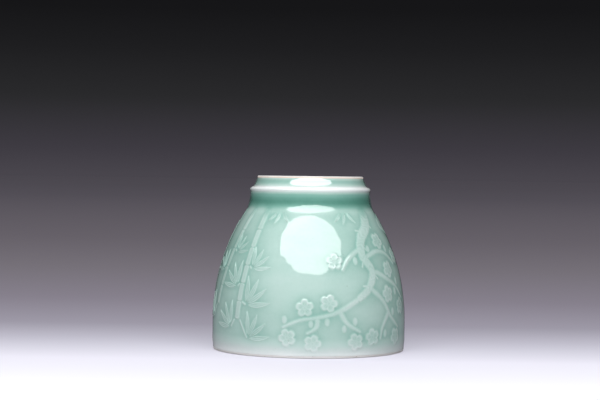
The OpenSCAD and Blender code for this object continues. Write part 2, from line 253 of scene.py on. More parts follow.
def add_range(tree, value, low, high):
    """A value mapped evenly from one (value, result) pair to another, and level past them."""
    node = add_node(tree, "ShaderNodeMapRange", Value=value, From_Min=low[0], To_Min=low[1],
                    From_Max=high[0], To_Max=high[1])
    return node.outputs["Result"]


def tinted(tree, share, colour, tint):
    """A colour multiplied by a tint, by a share from 0 to 1."""
    product = add_node(tree, "ShaderNodeMix", data_type="RGBA", blend_type="MULTIPLY",
                       Factor=share, A=colour, B=tint)
    return product.outputs["Result"]


print("clouds shift the depth of the glaze by up to", cloud_share / 2)

# %% [markdown]
# ## The glaze
# Fired glaze is glass: its gloss is sharp, and a very low bump makes reflections swim a little, as they do
# on thick glass. Deep glaze shines more than a thin film, so a clear coat grows with the depth. The wall,
# the foot and the raised slip differ a little in all this. They could be three networks, but one function
# with a few settings keeps them alike.

# %% Glaze material
def glaze_material(name, roughness, mottle, coat_ior, thin, deep):
    """Celadon whose colour follows the glaze attribute, shifted by clouds and by a fine mottle. The clouds
    swing its roughness, and the weight of its clear coat runs between two (depth, weight) pairs."""
    material, tree, shader = new_material(name)
    depth = add_node(tree, "ShaderNodeAttribute", attribute_name="glaze").outputs["Fac"]
    place = add_node(tree, "ShaderNodeTexCoord").outputs["Object"]
    drawn = add_node(tree, "ShaderNodeMapping", Vector=place, Scale=(1.0, 1.0, cloud_draw)).outputs["Vector"]
    clouds = add_noise(tree, drawn, scale=42.0, detail=3.0)
    grain = add_noise(tree, place, scale=900.0, detail=2.0)
    specks = add_noise(tree, place, scale=420.0, detail=1.0)
    cloudy = add_math(tree, "MULTIPLY_ADD", clouds, cloud_share, depth)
    grainy = add_math(tree, "MULTIPLY_ADD", grain, mottle, cloudy)
    centred = add_math(tree, "SUBTRACT", grainy, (cloud_share + mottle) / 2)
    colour = add_ramp(tree, centred, glaze_stops)
    speckled = tinted(tree, add_ramp(tree, specks, speck_stops), colour, linear(150, 165, 150))
    fill(tree, shader.inputs["Base Color"], speckled)
    smooth, rough = roughness * (1 - gloss_swing), roughness * (1 + gloss_swing)
    fill(tree, shader.inputs["Roughness"], add_range(tree, clouds, (0.0, smooth), (1.0, rough)))
    swim = add_node(tree, "ShaderNodeBump", Height=clouds, Strength=0.5, Distance=0.0003).outputs["Normal"]
    fill(tree, shader.inputs["Normal"], swim)
    fill(tree, shader.inputs["Coat Normal"], swim)
    fill(tree, shader.inputs["Coat Weight"], add_range(tree, depth, thin, deep))
    shader.inputs["IOR"].default_value = 1.5
    shader.inputs["Coat Roughness"].default_value = 0.03
    shader.inputs["Coat IOR"].default_value = coat_ior
    return material


wall_celadon = glaze_material("wall_celadon", roughness=0.045, mottle=0.05, coat_ior=1.5,
                              thin=(0.5, 0.3), deep=(0.7, 1.0))
bright_celadon = glaze_material("bright_celadon", roughness=0.045, mottle=0.05, coat_ior=1.7,
                                thin=(0.05, 0.0), deep=(0.3, 1.0))
slip_celadon = glaze_material("slip_celadon", roughness=0.06, mottle=0.09, coat_ior=1.5,
                              thin=(0.0, 0.0), deep=(0.3, 0.3))
print("glaze materials:", wall_celadon.name, bright_celadon.name, slip_celadon.name)

# %% [markdown]
# ## The bare clay
# Porcelain left bare is matt and almost white. Next to the glaze the fire blushes it a warm buff, fine
# grains show, and a few grains of iron burn dark. A second attribute could say where the blush is, but
# clay needs no glaze depth, so the same one does: 0 is pale clay, and 1 is the blush at the glaze line.
# The turning tool leaves fine rings round the axis, so one noise reads only the distance from it.

# %% Clay material
clay_stops = [(0.0, linear(238, 236, 234)), (0.3, linear(240, 218, 203)), (0.8, linear(228, 182, 150))]
iron_stops = [(0.7, (0.0, 0.0, 0.0, 1.0)), (0.78, (0.7, 0.7, 0.7, 1.0))]
grain_share = 0.12
ring_share = 1.6


def clay_material(name):
    """Bare fired porcelain, warm where the attribute is high. Its bump is a fine grain plus tool rings, and
    its colour is darkened by the grain and by specks of iron."""
    material, tree, shader = new_material(name)
    blush = add_node(tree, "ShaderNodeAttribute", attribute_name="glaze").outputs["Fac"]
    place = add_node(tree, "ShaderNodeTexCoord").outputs["Object"]
    patches = add_noise(tree, place, scale=160.0, detail=2.0)
    specks = add_noise(tree, place, scale=900.0, detail=1.0)
    grain = add_node(tree, "ShaderNodeTexNoise", Vector=place, Scale=2600.0, Detail=3.0)
    warm = add_ramp(tree, add_math(tree, "MULTIPLY", blush, patches), clay_stops)
    grained = tinted(tree, grain_share, warm, grain.outputs["Color"])
    specked = tinted(tree, add_ramp(tree, specks, iron_stops), grained, linear(160, 130, 105))
    fill(tree, shader.inputs["Base Color"], specked)
    flat = add_node(tree, "ShaderNodeMapping", Vector=place, Scale=(1.0, 1.0, 0.0)).outputs["Vector"]
    radius = add_node(tree, "ShaderNodeVectorMath", operation="LENGTH", Vector=flat).outputs["Value"]
    rings = add_node(tree, "ShaderNodeTexNoise", noise_dimensions="1D", W=radius, Scale=3500.0)
    tooled = add_math(tree, "MULTIPLY_ADD", rings.outputs["Fac"], ring_share, grain.outputs["Fac"])
    bump = add_node(tree, "ShaderNodeBump", Height=tooled, Strength=0.4, Distance=0.00005)
    fill(tree, shader.inputs["Normal"], bump.outputs["Normal"])
    shader.inputs["Roughness"].default_value = 0.62
    return material


bare_clay = clay_material("bare_clay")
print("clay material:", bare_clay.name)

# %% [markdown]
# ## Turning an outline
# Thrown pots are round, so one outline carried round the axis makes a whole piece. The outline is a list
# of [distance from the axis, height] points, and the second parameter is the angle. Pieces with a floor
# have an outline that starts and ends on the axis; rings and coats have one that closes on itself.
# Blender's Screw modifier could do the turning, but the arrays also carry the glaze depth, so it is done
# here.

# %% Turned surfaces
TURNS = 288


def arc(x, z, radius, start, end, count):
    """Points of a circle about [x, z]: the centre plus the radius times the cosine and sine of an angle."""
    angle = np.radians(np.linspace(start, end, count))
    return np.stack([x + radius * np.cos(angle), z + radius * np.sin(angle)], axis=1)


def full_turn(count):
    """Angles round a full turn, evenly spaced, in radians."""
    return np.linspace(0.0, 2 * np.pi, count, endpoint=False)


def about_axis(r, angle, z):
    """Points at a distance from the axis: x and y are that distance times the sine and minus the cosine of
    the angle. At an angle of 0 they face the camera."""
    return np.stack([r * np.sin(angle), -r * np.cos(angle), z + 0 * angle], axis=-1)


def turned(outline, glaze):
    """An outline carried round the axis, with a depth of glaze for each of its points."""
    points = about_axis(outline[:, :1], full_turn(TURNS), outline[:, 1:])
    depth = np.broadcast_to(np.asarray(glaze, float).reshape(-1, 1), points.shape[:2])
    on_axis = outline[0, 0] == 0 and outline[-1, 0] == 0
    return woven(points, depth, ring=not on_axis)


print("columns of points are", round(2 * math.pi * mouth_r / TURNS, 2), "mm apart at the mouth")

# %% [markdown]
# ## The outside wall
# The belly is one long arc. A picture on it could be placed by height, but heights bunch up where the wall
# leans in, so it is placed by the distance along the wall from the rim up. Near the rim the coat thins
# over a few millimetres, so the wall steps in by the glaze that is missing. The coat and the relief on it
# share this function, so they can't drift apart.

# %% Wall functions
def ease(x):
    """Runs smoothly from 0 to 1 as x does: three times the square less twice the cube."""
    x = np.clip(x, 0.0, 1.0)
    return x * x * (3 - 2 * x)


def wall_at(along):
    """Distance from the axis, height and lean (radians) of the coat's surface at a length along the wall."""
    lean = np.clip((along - lip_h) / belly_r, 0.0, None)
    z = np.where(along < lip_h, along, lip_h + belly_r * np.sin(lean))
    missing = (glaze_t - lip_glaze_t) * (1 - ease((z - rim_r) / lip_fade))
    return belly_x + belly_r * np.cos(lean) - missing, z, lean


def along_at(z):
    """Length along the wall at a height."""
    lean = np.arcsin(np.clip((z - lip_h) / belly_r, 0.0, 1.0))
    return np.where(z < lip_h, z, lip_h + belly_r * lean)


print("the wall is", round(float(along_at(neck_z)), 2), "mm long from rim to neck")

# %% [markdown]
# ## How deep the glaze is
# The pot was dipped and fired, and its glaze ran towards the foot: thin at the lip, even on the belly,
# pooled in the neck, gone on the ridge and pooled again on the foot. A painter could lay such bands on by
# hand, but they follow the height alone, so a short list of heights and depths holds them, with straight
# lines between.

# %% Depth by height
depth_by_height = [
    (0.0, 0.03), (1.5, 0.11), (3.0, 0.22), (5.0, 0.39), (8.0, 0.5), (12.0, 0.48), (30.0, 0.48), (48.0, 0.53),
    (56.0, 0.53), (57.5, 0.49), (58.5, 0.55), (59.3, 0.67), (60.0, 0.8), (61.0, 0.93), (61.8, 0.96),
    (63.0, 0.9), (64.5, 0.72), (65.3, 0.5), (65.8, 0.22), (66.6, 0.03), (67.4, 0.03), (68.1, 0.43),
    (69.0, 0.61), (69.9, 0.66), (70.6, 0.54), (71.2, 0.33)]


def depth_at(z):
    """Depth of the glaze outside at a height, on straight lines between the listed heights."""
    return np.interp(z, *np.transpose(depth_by_height))


print("glaze is deepest at", max(depth_by_height, key=lambda pair: pair[1])[0], "mm up, in the neck")

# %% [markdown]
# ## The bowl
# The bowl is the thrown clay cup: a rounded rim, a belly of even thickness, a rounded floor and a boss for
# the foot ring. Most of it is under glaze, but the rim shows. It could be a surface with a Solidify
# modifier, but its floor is thicker than its wall, so its whole outline is drawn, outside and inside, and
# turned. Wiping flattens a rim, so its round is squared a little, and only a thin line of it turns under.

# %% Bowl
floor_round = 14.0
boss_r = 18.85
rim_power = 0.45
inside_belly_r = belly_r - glaze_t - wall_t
inside_r = clay_r - wall_t
fillet_z = floor_z - floor_round
fillet_lean = math.asin((fillet_z - lip_h) / (inside_belly_r - floor_round))
fillet_x = belly_x + (inside_belly_r - floor_round) * math.cos(fillet_lean)
neck_lean = math.acos((clay_neck_r - belly_x) / (belly_r - glaze_t))


def squared_round(x, z, radius, start, end, count):
    """Points of an arc whose cosine and sine are raised to a power below one, which squares it a little."""
    angle = np.radians(np.linspace(start, end, count))
    way = np.stack([np.cos(angle), np.sin(angle)], axis=1)
    return [x, z] + radius * np.sign(way) * np.abs(way) ** rim_power


def bowl_inside(coat):
    """Outline of the bowl's inside from the end of the straight wall up to the axis, under a coat."""
    return np.concatenate([
        arc(belly_x, lip_h, inside_belly_r - coat, 0, math.degrees(fillet_lean), count=60)[:-1],
        arc(fillet_x, fillet_z, floor_round - coat, math.degrees(fillet_lean), 90, count=24),
        [[0.0, floor_z - coat]]])


bowl_outside = np.concatenate([
    [[clay_r, rim_r]],
    arc(belly_x, lip_h, belly_r - glaze_t, 0, math.degrees(neck_lean), count=60),
    [[clay_neck_r, seat_z]]])
bowl_outline = np.concatenate([
    [[0.0, boss_z], [boss_r, boss_z], [boss_r, seat_z]],
    bowl_outside[::-1],
    squared_round(inside_r + rim_r, rim_r, rim_r, 360, 180, count=33)[1:],
    bowl_inside(0.0)])
bowl_blush = np.zeros(len(bowl_outline))
add_piece("thrown_bowl", [turned(bowl_outline, bowl_blush)], "bowl", bare_clay)

# %% [markdown]
# ## The foot ring
# The ring was turned on the wheel and stuck on with slip. It has a ridge round it, a wall that sweeps out
# to that ridge, and a bare face with softened edges. A Bevel modifier could soften edges, but not make the
# sweep, which tightens all the way down. So the wall is a sum of powers of the way down, and arcs do the
# rest. The blush is strongest at the glaze line and gone on the face.

# %% Foot ring
ridge_proud = 0.3
ridge_rise = 1.15
ridge_round = 0.9
foot_step = 2.9
foot_wall = 3.0
bare_h = 0.8
edge_round = 0.5
flare = 0.8
sweep = 0.95
blush_fade = 0.6
ridge_r = clay_neck_r + ridge_proud
ridge_x = ridge_r - ridge_round
ridge_z = seat_z + ridge_rise
ledge_z = ridge_z + ridge_round
foot_top_r = ridge_r - foot_step
bore_r = foot_top_r - foot_wall
bare_z = height - bare_h
edge_z = height - edge_round


def ring_outside(coat):
    """Outline of the ring's outside from the side of its ridge to the bare line, under a coat. The wall's
    distance from the axis grows with the way down, with its square, and in the corner with its twelfth
    power."""
    z = np.linspace(ledge_z + coat, bare_z, 24)[1:]
    down = (edge_z - z) / (edge_z - ledge_z)
    corner = ridge_x - foot_top_r - flare - sweep
    wall_r = foot_top_r + flare * down + sweep * down**2 + corner * down**12
    return np.concatenate([
        arc(ridge_x, ridge_z, ridge_round + coat, 0, 90, count=20),
        np.stack([wall_r + coat, z], axis=1)])


ridge_start = -math.degrees(math.acos((clay_neck_r - ridge_x) / ridge_round))
ridge_below = np.concatenate([
    [[clay_neck_r, seat_z]],
    arc(ridge_x, ridge_z, ridge_round, ridge_start, 0, count=10)[:-1]])
ring_outline = np.concatenate([
    ridge_below,
    ring_outside(0.0),
    arc(foot_top_r - edge_round, edge_z, edge_round, 0, 90, count=10),
    arc(bore_r + edge_round, edge_z, edge_round, 90, 180, count=10),
    [[bore_r, seat_z]]])
ring_blush = 1 - ease((ring_outline[:, 1] - bare_z) / blush_fade)
add_piece("luted_foot_ring", [turned(ring_outline, ring_blush)], "foot_ring", bare_clay)

# %% [markdown]
# ## Glaze in the corner under the ridge
# Glaze can't turn a sharp corner. Between neck and ridge it makes a soft hollow. A Bevel modifier could
# round that corner, but the hollow crosses from one coat to the next. So it is an arc that touches both
# the neck's straight line and the ridge's circle: its middle is one radius off the line, and as far from
# the ridge's middle as both radii together.

# %% Hollow under the ridge
pool_round = 10.0
pool_dip = 0.2
foot_glaze_t = 0.2
hollow_round = 7.0
neck_tilt = math.radians(9.6)
pool_r = neck_r - pool_dip
pool_lean = math.acos((pool_r + pool_round - belly_x) / (belly_r + pool_round))
pool_z = lip_h + (belly_r + pool_round) * math.sin(pool_lean)
pool_end_r = pool_r + pool_round * (1 - math.cos(neck_tilt))
pool_end_z = pool_z - pool_round * math.sin(neck_tilt)
ridge_coat_r = ridge_round + foot_glaze_t
off_neck = np.array([math.cos(neck_tilt), math.sin(neck_tilt)])
up_neck = np.array([-off_neck[1], off_neck[0]])
to_ridge = np.array([ridge_x - pool_end_r, ridge_z - pool_end_z])
leg = math.sqrt((hollow_round + ridge_coat_r) ** 2 - (hollow_round - to_ridge @ off_neck) ** 2)
up_to_hollow = to_ridge @ up_neck - leg
hollow_x, hollow_z = [pool_end_r, pool_end_z] + hollow_round * off_neck + up_to_hollow * up_neck
hollow_start = hollow_z - hollow_round * math.sin(neck_tilt)
hollow_end = ridge_z + (hollow_z - ridge_z) * ridge_coat_r / (ridge_coat_r + hollow_round)


def neck_outside(z):
    """Coat's distance from the axis between the pool and the ridge: the neck's straight line, then the
    hollow's arc, then the ridge's circle. Each touches the next."""
    neck = pool_end_r - math.tan(neck_tilt) * (z - pool_end_z)
    hollow = hollow_x - np.sqrt(np.clip(hollow_round**2 - (z - hollow_z) ** 2, 0.0, None))
    ridge = ridge_x + np.sqrt(np.clip(ridge_coat_r**2 - (z - ridge_z) ** 2, 0.0, None))
    return np.where(z < hollow_start, neck, np.where(z < hollow_end, hollow, ridge))


print("the hollow runs from", round(hollow_start, 2), "to", round(hollow_end, 2), "mm up")

# %% [markdown]
# ## The foot's coat
# The outside, the foot, the inside and the base each have a coat that ends where a potter wiped it. A
# Solidify modifier could grow coats out of the clay, but thinning them would take painted weights. Here a
# coat's outline runs up its own surface and back down the clay's, so it fits the clay and may thin as it
# likes. The foot's coat starts under the ridge, where the outer coat meets it, and ends at the bare line.

# %% Foot coat
ridge_heights = np.linspace(seat_z, ridge_z, 16)[:-1]
foot_outline = np.concatenate([
    np.stack([neck_outside(ridge_heights), ridge_heights], axis=1),
    ring_outside(foot_glaze_t),
    ring_outside(0.0)[::-1],
    ridge_below[::-1]])
foot_coat = turned(foot_outline, depth_at(foot_outline[:, 1]))
add_piece("foot_coat", [foot_coat], "foot_glaze", bright_celadon)

# %% [markdown]
# ## The inner coat
# The inner coat covers the bowl's inside from the lip to the middle of the floor. It could take the outer
# coat's depths, but glaze poured out of a cup gathers elsewhere: it thins at the lip and deepens in the
# round of the floor. So it has a short list of heights and depths of its own.

# %% Inner coat
inner_glaze_t = 0.3
inner_by_height = [(1.0, 0.17), (6.0, 0.36), (10.0, 0.46), (48.0, 0.48), (58.0, 0.6), (62.0, 0.56)]
rim_z = np.linspace(rim_r, rim_r + lip_fade, 10)
rim_coat = lip_glaze_t + (inner_glaze_t - lip_glaze_t) * ease((rim_z - rim_r) / lip_fade)
inner_outline = np.concatenate([
    bowl_inside(inner_glaze_t)[::-1],
    np.stack([inside_r - rim_coat, rim_z], axis=1)[::-1],
    [[inside_r, rim_r]],
    bowl_inside(0.0)])
inner_depth = np.interp(inner_outline[:, 1], *np.transpose(inner_by_height))
add_piece("inner_coat", [turned(inner_outline, inner_depth)], "inner_glaze", wall_celadon)

# %% [markdown]
# ## The base's coat
# The base inside the foot ring is glazed too, and its coat turns up against the ring's bore with a soft
# round. A flat disc could stand for it, but the round is what catches the light. Its depth follows the
# distance from the axis, because glaze gathers where the base meets the ring.

# %% Base coat
base_glaze_t = 0.35
base_round = 1.5
base_by_radius = [(0.0, 0.44), (14.0, 0.5), (17.2, 0.72), (18.6, 0.5)]
base_r = bore_r - base_glaze_t
base_z = boss_z + base_glaze_t
base_outline = np.concatenate([
    [[0.0, base_z]],
    arc(base_r - base_round, base_z + base_round, base_round, -90, 0, count=12),
    [[base_r, bare_z], [bore_r, bare_z], [bore_r, boss_z], [0.0, boss_z]]])
base_depth = np.interp(base_outline[:, 0], *np.transpose(base_by_radius))
add_piece("base_coat", [turned(base_outline, base_depth)], "base_glaze", wall_celadon)

# %% [markdown]
# ## Places on the wall
# The picture is drawn on a wall that is round and leans. Flat curves could be pressed onto it with a
# Shrinkwrap modifier, but that stretches them where the wall leans most. So everything is drawn on the
# wall from the start: a place is [angle in degrees, length along the wall], and a step in millimetres
# becomes one in degrees by the wall's radius there. The picture's ground is at the neck, so it is the
# right way up when the pot stands on its foot.

# %% Places
def sited(points):
    """Places from [angle, share of the neck's height] pairs."""
    points = np.asarray(points, float)
    return np.stack([points[..., 0], along_at(points[..., 1] * neck_z)], axis=-1)


def moved(places, right, up):
    """Places shifted by millimetres to the right and along the wall."""
    r = wall_at(places[..., 1])[0]
    return np.stack([places[..., 0] + np.degrees(right / r), places[..., 1] + up], axis=-1)


print("a degree is", round(math.radians(1) * mouth_r, 2), "mm at the mouth")
print("a degree is", round(math.radians(1) * neck_r, 2), "mm at the neck")

# %% [markdown]
# ## Lines on the wall
# Trunks, twigs and leaves follow lines. A line could be a Blender curve, but then its places would have to
# be read back from it. A Catmull-Rom curve is one formula: it passes through a few given places and
# takes its slopes from their neighbours. Points lie closer together at a line's ends, where strokes are
# rounded.

# %% Lines
TINY = 1e-9


def shares(count):
    """Shares of a length from 0 to 1, closer together at both ends: half of one less a cosine."""
    return (1 - np.cos(np.linspace(0, np.pi, count))) / 2


def smoothed(places, way):
    """Catmull-Rom curve through places, at shares of the way: a cubic between each two, with its slopes from
    their neighbours."""
    p = np.concatenate([places[:1], places, places[-1:]])
    t = np.asarray(way) * (len(p) - 3)
    i = np.minimum(t.astype(int), len(p) - 4)
    u = (t - i)[:, None]
    a, b, c, d = p[i], p[i + 1], p[i + 2], p[i + 3]
    return (2 * b + (c - a) * u + (2 * a - 5 * b + 4 * c - d) * u**2 + (3 * b - a - 3 * c + d) * u**3) / 2


def across(line):
    """Unit direction square to a line of places, [right, up], to the left of the way that it runs."""
    step = np.gradient(line, axis=0)
    way = np.stack([np.radians(step[:, 0]) * wall_at(line[:, 1])[0], step[:, 1]], axis=1)
    way /= np.maximum(np.linalg.norm(way, axis=1, keepdims=True), TINY)
    return np.stack([-way[:, 1], way[:, 0]], axis=1)


def travelled(line):
    """Millimetres along a line of places from its start to each of them."""
    step = np.diff(line, axis=0)
    r = wall_at((line[1:, 1] + line[:-1, 1]) / 2)[0]
    return np.concatenate([[0.0], np.cumsum(np.hypot(np.radians(step[:, 0]) * r, step[:, 1]))])


upright = sited([[0, 0.2], [0, 0.8]])
print("a line up the wall, from a fifth of the neck's height to four, is",
      round(travelled(smoothed(upright, shares(20)))[-1], 2), "mm long")

# %% [markdown]
# ## Sections through the slip
# A potter paints the picture with slip, layer on layer, and the glaze softens it. A section gives the
# height of a shape step by step, from its middle (0) over its edge (1) and down a soft skirt (2) to the
# wall. It could be a drawn profile, but smooth curves added up, an S-curve and a few bell curves, are
# easier to change: a crest near 1 is a raised rim, and one at 0 a midrib. Nothing under the glaze has a
# hard edge, so every skirt ends almost level.

# %% Sections
relief_h = 0.15
tucked = 0.06
steps = np.array([0, 0.1, 0.2, 0.32, 0.45, 0.6, 0.74, 0.85, 0.94, 1.02, 1.12, 1.25, 1.4, 1.55, 1.72, 1.9,
                  2.1])


def rounded(start):
    """Heights over the steps: full up to a start, down an S-curve that ends at 2, then under the wall."""
    return 1 - ease((steps - start) / (2 - start)) - tucked * (steps > 2)


def crest(at, width):
    """A crest over the steps: a bell curve about one of them."""
    return np.exp(-(((steps - at) / width) ** 2))


trunk_section = 0.85 * rounded(0.62)
branch_section = 0.75 * rounded(0.3)
blossom_eye = 0.25 * crest(0.16, 0.07) - 0.15 * crest(0, 0.08)
blossom_section = rounded(0.7) * (0.55 + 0.4 * crest(0.88, 0.17) + blossom_eye)
bud_section = 0.7 * rounded(0.4)
stem_section = rounded(0.62) * (0.62 + 0.2 * crest(0.84, 0.22))
leaf_section = rounded(0.68) * (0.28 + 0.62 * crest(0.92, 0.18) + 0.42 * crest(0, 0.15))
rock_folds = 0.25 * crest(0.9, 0.1) + 0.15 * crest(0.55, 0.1) + 0.15 * crest(0.25, 0.08)
rock_section = rounded(0.75) * (0.55 + rock_folds)
print("sections have", len(steps), "steps, and the relief stands about", relief_h, "mm proud")

# %% [markdown]
# ## Raising a shape off the wall
# A raised shape has a middle, a line or a point, and an edge round it. One parameter goes round the edge,
# and the other takes the section's steps from the middle outwards. Displacement on the wall's own mesh
# could raise the picture too, but then it would be one piece with the coat, and fine rims would need
# millions of faces. So each shape is a small closed mesh, and two last rows close it underneath, inside
# the coat, where nothing shows.

# %% Raised shapes
sunk = -0.2


def raised(middle, edge, section, skirt, lift=1.0):
    """A closed shape of slip. Steps up to 1 lie between the middle and the edge; past 1, beyond it by the
    skirt. Heights are the section's times the lift. Each point's value is its height off the wall."""
    r = wall_at(edge[:, 1])[0]
    before, after = np.roll(edge, 1, axis=0), np.roll(edge, -1, axis=0)
    way = np.stack([np.radians(after[:, 0] - before[:, 0]) * r, after[:, 1] - before[:, 1]], axis=1)
    length = np.maximum(np.linalg.norm(way, axis=1, keepdims=True), TINY)
    turn = np.sign(np.sum(before[:, 0] * after[:, 1] - after[:, 0] * before[:, 1]))
    outward = turn * np.stack([way[:, 1], -way[:, 0]], axis=1) / length
    places = middle + np.minimum(steps, 1.0)[:, None, None] * (edge - middle)
    out = np.maximum(steps - 1.0, 0.0)[:, None] * skirt
    places = moved(places, out * outward[:, 0], out * outward[:, 1])
    high = section[:, None]
    heights = np.broadcast_to(relief_h * np.where(high > 0, high * lift, high), places.shape[:2])
    places = np.concatenate([places, edge[None], np.broadcast_to(middle, edge.shape)[None]])
    heights = np.concatenate([heights, np.full((2, len(edge)), sunk)])
    r, z, lean = wall_at(places[..., 1])
    angle = np.radians(places[..., 0])
    reach = r + heights * np.cos(lean)
    return woven(about_axis(reach, angle, z + heights * np.sin(lean)), heights)


print("raised shapes are closed", -sunk, "mm inside the coat")

# %% [markdown]
# ## Strokes of slip
# Most of the picture is brush strokes: a line with a width. A curve with a bevel could give a stroke its
# width, but not its section. Here the edge lies a half width to the left and right of the line, out along
# one side and back along the other. Slip runs together at the ends of a stroke, so those are round.

# %% Strokes
def both_ways(row):
    """A row of values along a line, there and back, as they lie round a stroke's edge."""
    return np.concatenate([row, row[-2:0:-1]])


def stroke(line, half, section, skirt, lift=1.0):
    """A raised shape along a line of places: its edge lies a half width to the left and right of it."""
    side = across(line) * np.asarray(half)[:, None]
    left = moved(line, side[:, 0], side[:, 1])
    right = moved(line, -side[:, 0], -side[:, 1])
    return raised(both_ways(line), np.concatenate([left, right[-2:0:-1]]), section, skirt, lift)


def round_ended(line, half, reach=1.0):
    """Half widths that end round: near an end they follow a quarter ellipse, whose length is the half width
    times the reach."""
    run = travelled(line)
    to_end = np.minimum(run, run[-1] - run)
    return half * np.sqrt(1 - np.clip(1 - to_end / (half * reach), 0, 1) ** 2)


print("a line of 20 places has", len(both_ways(np.arange(20))), "places round its edge")

# %% [markdown]
# ## Rough edges and bark
# Old plum wood has ragged edges and scratched bark. Random numbers could roughen it, but they are jagged
# from point to point. Waves of a few lengths, added up, wander smoothly and are the same on each run of
# the script. The bark is a wave along the stroke that swings with the place across it.

# %% Boughs
bark_depth = 1.4
scratch_rate = 3.4
scratch_swing = 2.4
# Each wave is (size, radians to a millimetre)
waves = [(0.5, 0.9), (0.5, 2.3), (0.6, 5.3), (0.5, 7.9)]


def wander(run, seed):
    """A wavy line between about -1 and 1 along a length: sines of different sizes and rates, each shifted by
    the seed, over the sum of their sizes."""
    total = sum(size for size, _ in waves)
    return sum(size * np.sin(rate * run + (1 + rate) * seed) for size, rate in waves) / total


def bark(run, seed):
    """Scratches over a stroke: a sine along it whose phase swings with the place across it, strong and weak
    by turns. Left of the middle is positive, right is negative, so both sides meet in the middle."""
    along = both_ways(run)
    side = np.where(np.arange(len(along)) < len(run), 1.0, -1.0) * steps[:, None]
    strength = (0.6 + 0.4 * np.sin(1.3 * along + 2 * seed)) * (steps < 1.05)[:, None]
    swing = scratch_swing * np.sin(2.6 * side + 0.7 * along + seed)
    return strength * np.sin(scratch_rate * along + swing)


def bough(line, width, tip, rough, section, skirt, seed):
    """A tapered stroke with a wandering edge and bark. The tip is its last width as a share of its first."""
    run = travelled(line)
    half = width / 2 * (1 - (1 - tip) * run / run[-1]) * (1 + rough * wander(run, seed))
    lift = 1 + bark_depth * rough * bark(run, seed)
    return stroke(line, round_ended(line, half), section, skirt, lift)


print("edges wander with waves of", [round(2 * math.pi / rate, 1) for _, rate in waves], "mm")

# %% [markdown]
# ## Plum trunks
# The trunks are broad, flat strokes that come out of the pool at the neck and taper to the height of the
# lowest branches. A few broken spurs stand out from their sides. Spurs could be part of a trunk's edge,
# but as strokes of their own, with their roots under the trunk, they stay clean.

# %% Trunks
trunks = [
    [[54.5, 0.99], [49, 0.88], [40, 0.80], [37, 0.69], [43, 0.58], [39, 0.47], [30, 0.39]],
    [[217, 0.99], [209, 0.88], [214, 0.79], [226, 0.70], [229, 0.59], [219, 0.48], [223, 0.39]]]
trunk_w = 4.2
trunk_points = 220
# Each spur is (share of the way along the trunk, side, length)
spurs = [(0.13, 1, 2.6), (0.27, -1, 3.0), (0.41, 1, 2.7), (0.55, -1, 2.8), (0.7, 1, 2.4), (0.84, -1, 2.2)]
spur_slant = 0.8
spur_half = 0.45
spur_taper = 0.22
spur_reach = 0.02
twig_points = 14
twig_skirt = 0.5


def spur(places, share, side, length):
    """A short stub of a broken twig, which leaves a trunk's edge at a slant and narrows to its end."""
    near = smoothed(places, [share - spur_reach, share, share + spur_reach])
    aside = across(near)[1] * side
    ahead = side * np.array([aside[1], -aside[0]])
    way = (aside + spur_slant * ahead) / math.hypot(1, spur_slant)
    start = moved(near[1], aside[0] * trunk_w / 4, aside[1] * trunk_w / 4)
    share_out = shares(twig_points)
    line = moved(np.broadcast_to(start, (twig_points, 2)), share_out * length * way[0],
                 share_out * length * way[1])
    return stroke(line, round_ended(line, spur_half - spur_taper * share_out), branch_section, twig_skirt)


trunk_shapes = []
for seed, points in enumerate(trunks, start=1):
    places = sited(points)
    line = smoothed(places, shares(trunk_points))
    trunk = bough(line, trunk_w, tip=0.5, rough=0.13, section=trunk_section, skirt=0.9, seed=seed)
    trunk_shapes += [trunk] + [spur(places, *each) for each in spurs]
# All pieces of the relief, as (name, CAD node, shapes)
slip = [("raised_trunks", "trunk_relief", trunk_shapes)]
print(len(trunks), "trunks with", len(spurs), "spurs each")

# %% [markdown]
# ## Plum branches
# The branches are thinner and rounder strokes. In the CAD model they start a little way off what bears
# them, so that no two solids overlap, but slip under a glaze shows no such gap. They could all be drawn by
# hand up to the wood. Instead each is led back to the nearest place on what has grown before it.

# %% Branches
branches = [
    [[27, 0.37], [17, 0.31], [6, 0.275], [-5, 0.255], [-15, 0.205]],
    [[48, 0.565], [57, 0.52], [66, 0.47], [74, 0.385]],
    [[42, 0.445], [50, 0.37], [56, 0.27], [65, 0.19]],
    [[5, 0.25], [4, 0.205], [-1, 0.165]],
    [[33, 0.71], [26, 0.66], [21, 0.585]],
    [[19, 0.295], [23, 0.23], [31, 0.175]],
    [[42, 0.68], [52, 0.71], [62, 0.69], [71, 0.62]],
    [[53, 0.285], [48, 0.2], [46, 0.12]],
    [[225, 0.37], [234, 0.30], [247, 0.26], [259, 0.19]],
    [[215, 0.465], [204, 0.41], [192, 0.36], [182, 0.27]],
    [[233, 0.605], [243, 0.55], [253, 0.46]],
    [[219, 0.365], [213, 0.26], [203, 0.17]]]
branch_w = 1.7
branch_points = 80
trunk_samples = 200


def rooted(places, grown):
    """A branch's places, with the nearest place of what has grown before put first."""
    right = np.radians(grown[:, 0] - places[0, 0]) * wall_at(grown[:, 1])[0]
    nearest = np.argmin(np.hypot(right, grown[:, 1] - places[0, 1]))
    return np.concatenate([grown[[nearest]], places])


grown = np.concatenate([smoothed(sited(points), shares(trunk_samples)) for points in trunks])
branch_shapes = []
for seed, points in enumerate(branches, start=1 + len(trunks)):
    line = smoothed(rooted(sited(points), grown), shares(branch_points))
    branch = bough(line, branch_w, tip=0.45, rough=0.09, section=branch_section, skirt=0.8, seed=seed)
    branch_shapes.append(branch)
    grown = np.concatenate([grown, line])
slip.append(("raised_branches", "branch_relief", branch_shapes))
print(len(branches), "branches")

